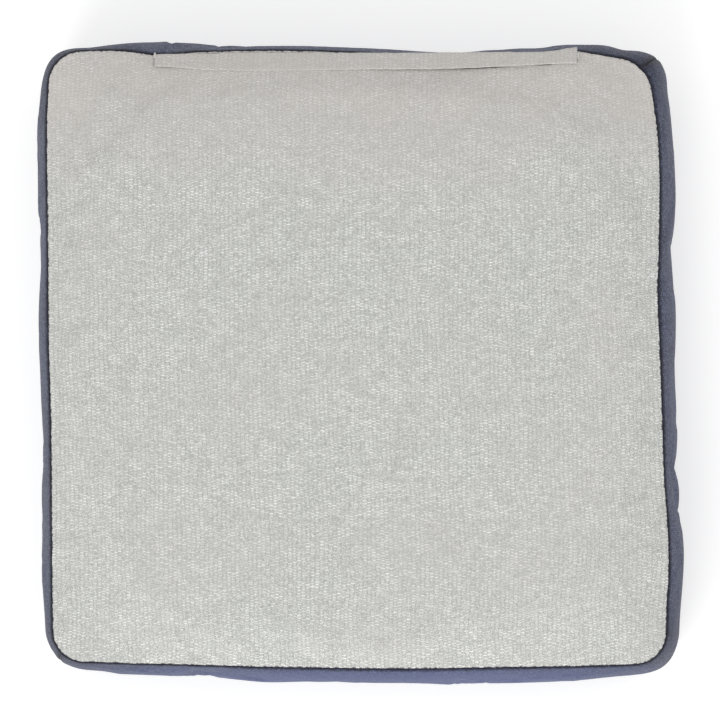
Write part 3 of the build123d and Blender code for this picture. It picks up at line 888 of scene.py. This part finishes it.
# ---- materials ------------------------------------------
class Tree:
    """A material's node tree, written as expressions."""

    def __init__(self, name):
        self.material = bpy.data.materials.new(name)
        self.material.use_nodes = True
        self.nodes = self.material.node_tree.nodes
        self.links = self.material.node_tree.links
        self.shader = self.nodes["Principled BSDF"]

    def put(self, socket, value):
        if isinstance(value, bpy.types.NodeSocket):
            self.links.new(value, socket)
        else:
            socket.default_value = value

    def add(self, kind, output=0, options=None, **inputs):
        made = self.nodes.new(kind)
        for key, value in (options or {}).items():
            setattr(made, key, value)
        for key, value in inputs.items():
            self.put(made.inputs[key.replace("_", " ")], value)
        return made.outputs[output]

    def math(self, operation, *values):
        made = self.nodes.new("ShaderNodeMath")
        made.operation = operation
        for socket, value in zip(made.inputs, values):
            self.put(socket, value)
        return made.outputs[0]

    def plus(self, a, b):
        return self.math("ADD", a, b)

    def minus(self, a, b):
        return self.math("SUBTRACT", a, b)

    def times(self, a, b):
        return self.math("MULTIPLY", a, b)

    def mix(self, factor, a, b):
        made = self.nodes.new("ShaderNodeMix")
        made.data_type = "RGBA"
        self.put(made.inputs[0], factor)
        self.put(made.inputs[6], a)
        self.put(made.inputs[7], b)
        return made.outputs[2]

    def split(self, vector):
        """The x, y and z of a vector."""
        parts = self.nodes.new("ShaderNodeSeparateXYZ")
        self.put(parts.inputs[0], vector)
        return parts.outputs

    def finish(self, **inputs):
        """Sets the shader's inputs by their names, with _ for a space."""
        for key, value in inputs.items():
            self.put(self.shader.inputs[key.replace("_", " ")], value)

    def relief(self, strength, distance, height):
        bump = self.add("ShaderNodeBump", 0, None, Strength=strength, Distance=distance, Height=height)
        self.finish(Normal=bump)

    def noise(self, vector, scale, detail=2.0, roughness=0.5):
        """Scale is in waves to the metre."""
        inputs = {"Vector": vector, "Scale": scale, "Detail": detail, "Roughness": roughness}
        return self.add("ShaderNodeTexNoise", **inputs)

    def ranged(self, value, low, high, to_low=0.0, to_high=1.0):
        made = self.nodes.new("ShaderNodeMapRange")
        made.interpolation_type = "SMOOTHSTEP"
        for socket, number in zip(made.inputs, (value, low, high, to_low, to_high)):
            self.put(socket, number)
        return made.outputs[0]


def colour(r, g, b):
    return (r, g, b, 1.0)


def weave(tree, vector, column, row, slack):
    """Plain weave on the flat cloth: columns across, staggered weft floats along.

    Returns the heights of weft and warp, and the numbers of the yarns.
    """
    parts = tree.split(vector)
    drift = tree.noise(vector, 14.0, 2.0)
    drift_2 = tree.noise(vector, 45.0, 1.0)
    u = tree.plus(tree.math("DIVIDE", parts[0], column), tree.times(drift, slack))
    v = tree.plus(tree.math("DIVIDE", parts[1], row), tree.times(drift_2, slack))
    v = tree.plus(v, tree.times(drift, 1.6 * slack))
    column_id = tree.math("FLOOR", u)
    across = tree.minus(tree.minus(u, column_id), 0.5)
    odd = tree.math("FLOORED_MODULO", column_id, 2.0)
    staggered = tree.plus(v, tree.times(odd, 0.5))
    row_id = tree.math("FLOOR", staggered)
    along_row = tree.minus(tree.minus(staggered, row_id), 0.5)
    crown = tree.math("COSINE", tree.times(across, math.pi))
    swing = tree.math("COSINE", tree.times(along_row, math.tau))
    rounding = tree.math("POWER", tree.math("MAXIMUM", crown, 0.0), 0.3)
    weft = tree.times(tree.math("POWER", tree.math("MAXIMUM", swing, 0.0), 0.7), rounding)
    warp = tree.times(tree.math("MAXIMUM", tree.times(swing, -1.0), 0.0), crown)
    weft_id = tree.minus(tree.times(row_id, 2.0), odd)
    return weft, warp, weft_id, column_id


def white(tree, a, b=0.0):
    pair = tree.nodes.new("ShaderNodeCombineXYZ")
    tree.put(pair.inputs[0], a)
    tree.put(pair.inputs[1], b)
    return tree.add("ShaderNodeTexWhiteNoise", 0, None, Vector=pair.outputs[0])


def cut_place(tree):
    return tree.add("ShaderNodeAttribute", 1, {"attribute_name": "cut"})


def canvas_material():
    """Coarse unbleached cotton: pale yarns, grey gaps, slubs and seed specks.

    By place it has painted shade, warmer and darker, towards the zip edge, and a painted shadow line along
    its seams.
    """
    tree = Tree("offwhite_canvas")
    place = cut_place(tree)
    parts = tree.split(place)
    weft, warp, weft_id, column_id = weave(tree, place, 4.2 * MM, 2.6 * MM, 1.6)
    clear = tree.ranged(tree.noise(place, 60.0, 4.0, 0.7), 0.36, 0.62, 0.5, 1.0)
    spun = white(tree, weft_id, column_id)
    weft = tree.times(weft, tree.ranged(spun, 0.0, 1.0, 0.45, 1.15))
    surface = tree.math("MAXIMUM", weft, tree.times(warp, 0.5))
    yarn = tree.plus(tree.times(white(tree, weft_id, 3.0), 0.5), tree.times(spun, 0.5))
    grain = tree.noise(place, 1100.0, 3.0, 0.65)
    knots = tree.noise(place, 420.0, 2.0, 0.6)
    fill = tree.times(tree.ranged(surface, 0.05, 0.9), clear)
    light = tree.mix(yarn, colour(0.78, 0.795, 0.765), colour(1.0, 1.0, 0.98))
    cloth = tree.mix(fill, colour(0.40, 0.41, 0.385), light)
    cloth = tree.mix(tree.ranged(knots, 0.52, 0.68, 0.0, 0.62), cloth, colour(0.33, 0.325, 0.305))
    cloth = tree.mix(tree.ranged(grain, 0.46, 0.68, 0.0, 0.85), cloth, colour(1.0, 1.0, 0.985))
    # A random warm tint, plus painted shade that darkens and warms the cloth towards the zip edge.
    warm_tint_and_painted_shade = tree.ranged(tree.noise(place, 7.0, 3.0), 0.35, 0.7, 0.0, 0.2)
    warm_tint_and_painted_shade = tree.plus(warm_tint_and_painted_shade, tree.ranged(parts[1], 0.15, 0.27, 0.0, 0.5))
    cloth = tree.mix(warm_tint_and_painted_shade, cloth, colour(0.60, 0.555, 0.525))
    seeds = tree.noise(place, 300.0, 1.0)
    cloth = tree.mix(tree.ranged(seeds, 0.80, 0.84, 0.0, 0.6), cloth, colour(0.12, 0.11, 0.10))
    # Painted shadow: a ragged near-black line along the seam, standing in for the shade in the seam's
    # groove.
    ragged_shadow_offset = tree.ranged(tree.noise(place, 330.0, 1.0), 0.3, 0.7, -1.1 * MM, 0.6 * MM)
    painted_seam_shadow_edge = tree.plus(parts[2], ragged_shadow_offset)
    cloth = tree.mix(tree.ranged(painted_seam_shadow_edge, 0.1 * MM, 0.9 * MM, 0.85, 0.0), cloth, colour(0.035, 0.035, 0.05))
    tree.finish(Base_Color=cloth, Roughness=tree.ranged(surface, 0.0, 1.0, 0.95, 0.82))
    tree.finish(Specular_IOR_Level=0.2, Sheen_Weight=0.15, Sheen_Roughness=0.5)
    height = tree.plus(surface, tree.plus(tree.times(grain, 0.5), knots))
    tree.relief(0.7, 0.4 * MM, height)
    return tree.material


def chambray_material():
    """Indigo warp with a pale weft that shows as flecks, paler where it has rubbed.

    By place it has painted light, bluer, along the near side, painted shade at the four corners and a
    painted shadow band along its seams.
    """
    tree = Tree("indigo_chambray")
    place = cut_place(tree)
    parts = tree.split(place)
    weft, warp, weft_id, column_id = weave(tree, place, 1.9 * MM, 2.4 * MM, 0.9)
    surface = tree.math("MAXIMUM", tree.times(weft, 0.8), warp)
    fleck = tree.times(weft, tree.ranged(white(tree, weft_id, column_id), 0.35, 1.0, 0.05, 1.0))
    patch = tree.noise(place, 16.0, 3.0)
    rub = tree.noise(place, 520.0, 3.0, 0.65)
    worn = tree.ranged(patch, 0.32, 0.68)
    indigo = tree.mix(worn, colour(0.030, 0.036, 0.080), colour(0.050, 0.062, 0.122))
    cloth = tree.mix(tree.times(fleck, 0.6), indigo, colour(0.25, 0.29, 0.43))
    cloth = tree.mix(tree.ranged(rub, 0.48, 0.72, 0.0, 0.65), cloth, colour(0.29, 0.32, 0.44))
    cloth = tree.mix(tree.ranged(rub, 0.3, 0.48, 0.9, 0.0), cloth, colour(0.010, 0.010, 0.020))
    cloth = tree.mix(tree.ranged(surface, 0.05, 0.5, 0.6, 0.0), cloth, colour(0.02, 0.021, 0.036))
    # Painted light: the band is made bluer along the near side, where the light falls.
    where = tree.split(tree.add("ShaderNodeTexCoord", 3))
    painted_light_near_side = tree.ranged(where[1], -0.305, -0.285, 0.5, 0.0)
    cloth = tree.mix(painted_light_near_side, cloth, colour(0.115, 0.145, 0.33))
    # Painted shade: the band is darkened at the four corners.
    painted_corner_shade = tree.math("ABSOLUTE", tree.times(where[0], where[1]))
    cloth = tree.mix(tree.ranged(painted_corner_shade, 0.055, 0.085, 0.0, 0.35), cloth, colour(0.02, 0.022, 0.04))
    # Painted shadow: a dark ragged band beside each seam, darkest at the seam itself.
    ragged_shadow_offset = tree.ranged(tree.noise(place, 300.0, 1.0), 0.3, 0.7, -1.5 * MM, 1.5 * MM)
    painted_seam_shadow_band = tree.plus(parts[2], ragged_shadow_offset)
    cloth = tree.mix(tree.ranged(painted_seam_shadow_band, 0.5 * MM, 6 * MM, 0.88, 0.0), cloth, colour(0.014, 0.014, 0.024))
    tree.finish(Base_Color=cloth, Roughness=tree.ranged(surface, 0.0, 1.0, 0.95, 0.8))
    tree.finish(Specular_IOR_Level=0.2, Sheen_Weight=0.2, Sheen_Roughness=0.45)
    height = tree.plus(surface, rub)
    tree.relief(0.7, 0.35 * MM, height)
    return tree.material


def plain_material(name, base, shade, scale, roughness, metallic=0.0, bump_depth=0.0, contrast=0.5):
    """A finish of one colour with fine variation and relief, by object place."""
    tree = Tree(name)
    place = tree.add("ShaderNodeTexCoord", 3)
    mottle = tree.noise(place, scale, 3.0)
    tone = tree.mix(tree.ranged(mottle, 0.3, 0.7), base, shade)
    rougher = tree.ranged(mottle, 0.3, 0.7, roughness, roughness + 0.12)
    tree.finish(Base_Color=tone, Roughness=rougher, Metallic=metallic)
    if bump_depth:
        tree.relief(contrast, bump_depth, mottle)
    return tree.material


def tape_material():
    """Polyester zip tape: a fine herringbone."""
    tree = Tree("zip_tape")
    parts = tree.split(cut_place(tree))
    across = tree.math("DIVIDE", parts[1], 2.4 * MM)
    lean = tree.math("PINGPONG", across, 1.0)
    along = tree.math("DIVIDE", parts[0], 0.55 * MM)
    rib = tree.math("SINE", tree.times(tree.plus(along, tree.times(lean, 2.2)), math.tau))
    tone = tree.mix(tree.ranged(rib, -0.9, 0.9), colour(0.50, 0.49, 0.45), colour(0.66, 0.65, 0.61))
    tree.finish(Base_Color=tone, Roughness=0.7)
    tree.relief(0.6, 0.1 * MM, rib)
    return tree.material


def lining_material():
    """Non-woven casing: pressed fibres with a grid of bonding dimples."""
    tree = Tree("lining")
    place = cut_place(tree)
    parts = tree.split(place)
    dots = [tree.math("COSINE", tree.times(parts[axis], math.tau / (1.6 * MM))) for axis in (X, Y)]
    dimple = tree.ranged(tree.plus(dots[0], dots[1]), 1.0, 1.8)
    fibres = tree.noise(place, 1500.0, 4.0, 0.7)
    tone = tree.minus(fibres, tree.times(dimple, 0.4))
    cloth = tree.mix(tone, colour(0.66, 0.66, 0.64), colour(0.86, 0.86, 0.84))
    tree.finish(Base_Color=cloth, Roughness=0.75)
    tree.relief(0.5, 0.15 * MM, tone)
    return tree.material


TAPE = tape_material()
LINING = lining_material()
NYLON = plain_material("zip_coil", colour(0.70, 0.69, 0.65), colour(0.62, 0.61, 0.57), 300.0, 0.35)
THREAD = plain_material(
    "thread", colour(0.80, 0.79, 0.76), colour(0.62, 0.61, 0.58), 2500.0, 0.7, bump_depth=0.08 * MM
)
NICKEL = plain_material(
    "nickel", colour(0.60, 0.58, 0.55), colour(0.50, 0.49, 0.47), 700.0, 0.28,
    metallic=1.0, bump_depth=0.02 * MM,
)
FIBRE = plain_material(
    "fibre", colour(0.86, 0.86, 0.85), colour(0.74, 0.74, 0.73), 900.0, 0.85,
    bump_depth=0.6 * MM, contrast=0.8,
)
CANVAS = canvas_material()
CHAMBRAY = chambray_material()


# Each piece with its material, record slot, body and the CAD node it stands for. The flap has
# no body here: it is blended between two, below.
DRESSED = (
    (back_panel, CANVAS, "offwhite_canvas", "cover", "back_panel"),
    (front_panel, CHAMBRAY, "indigo_chambray", "cover", "front_panel"),
    (band_near_right, CHAMBRAY, "indigo_chambray", "cover", "side_band_near_right"),
    (band_far_left, CHAMBRAY, "indigo_chambray", "cover", "side_band_far_left"),
    (flap, CANVAS, "offwhite_canvas", None, "zip_flap"),
    (upper_tape, TAPE, "zip_tape", "cover", "zip_tape_upper"),
    (lower_tape, TAPE, "zip_tape", "cover", "zip_tape_lower"),
    (upper_coil, NYLON, "zip_coil", "cover", "zip_coil_upper"),
    (lower_coil, NYLON, "zip_coil", "cover", "zip_coil_lower"),
    (hem_stitches, THREAD, "thread", "cover", None),
    (left_tack, THREAD, "thread", "cover", "bar_tack_left"),
    (right_tack, THREAD, "thread", "cover", "bar_tack_right"),
    (slider, NICKEL, "nickel", "slider", "zip_slider"),
    (tab, NICKEL, "nickel", "pull_tab", "pull_tab"),
    (casing_top, LINING, "lining", "cover", "insert_top_panel"),
    (casing_bottom, LINING, "lining", "cover", "insert_bottom_panel"),
    (casing_band, LINING, "lining", "cover", "insert_band"),
    (fibre, FIBRE, "fibre", "cover", "fibre_fill"),
)
for piece, material, slot, body, node in DRESSED:
    piece.data.materials.clear()
    piece.data.materials.append(material)
    if node:
        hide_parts(node)
    if body:
        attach(piece, body)
for node in ("zip_top_stops", "zip_bottom_stop"):
    for stop_slot in cad_piece(node).material_slots:
        stop_slot.material = NICKEL

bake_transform(flap, "cover", "flap", start=tuple(ZIP_ORIGIN), end=tuple(ZIP_ORIGIN + 2 * MM * ZIP_V))
tacked(flap)

# ---- floor, light and camera ----------------------------
FLOOR_HALF = 6.0
floor_corners = [(x * FLOOR_HALF, y * FLOOR_HALF, 0) for x, y in ((-1, -1), (1, -1), (1, 1), (-1, 1))]
floor = new_mesh("floor", floor_corners, [(0, 1, 2, 3)], smooth=False)
floor_tree = Tree("floor")
floor_tree.finish(Base_Color=colour(0.7, 0.7, 0.7), Roughness=1.0, Specular_IOR_Level=0.0)
floor_tree.finish(Emission_Color=colour(1.0, 1.0, 1.0), Emission_Strength=0.5)
floor.data.materials.append(floor_tree.material)
floor.location.z = -0.5 * MM


def area_light(name, place, size, energy):
    """A square lamp that faces the cushion."""
    light = bpy.data.lights.new(name, "AREA")
    light.size = size
    light.energy = energy
    lamp = placed(name, light)
    lamp.location = place
    lamp.rotation_euler = (LIGHT_TARGET - Vector(place)).to_track_quat("-Z", "Y").to_euler()


LIGHT_TARGET = Vector((0, 0, 0.1))
area_light("key", (-1.2, -3.2, 3.4), 2.6, 95)
area_light("fill", (2.6, 1.4, 3.8), 3.0, 30)
world = bpy.data.worlds.new("studio")
world.use_nodes = True
background = world.node_tree.nodes["Background"].inputs
background[0].default_value = colour(1.0, 1.0, 1.0)
background[1].default_value = 0.62
bpy.context.scene.world = world
bpy.context.scene.view_settings.view_transform = "Standard"

SENSOR_WIDTH = 36.0
CAMERA_DISTANCE = 7.0
LEAN_RIGHT = math.radians(3.3)
LEAN_NEAR = math.radians(4.7)
FRAME_WIDTH = 0.6934  # what the picture spans at the cushion's mid height
MID_Z = (UPPER_SEAM_Z + LOWER_SEAM_Z) / 2
AIM = Vector((0.0014, 0.0043, MID_Z))
camera_data = bpy.data.cameras.new("camera")
camera_data.sensor_width = SENSOR_WIDTH
camera_data.lens = SENSOR_WIDTH * CAMERA_DISTANCE / FRAME_WIDTH
camera = placed("camera", camera_data)
view_from = Vector((math.tan(LEAN_RIGHT), -math.tan(LEAN_NEAR), 1.0)).normalized()
camera.location = AIM + CAMERA_DISTANCE * view_from
view_right = Vector((0, 1, 0)).cross(view_from).normalized()
view_up = view_from.cross(view_right)
camera.rotation_euler = Matrix((view_right, view_up, view_from)).transposed().to_euler()
bpy.context.scene.camera = camera
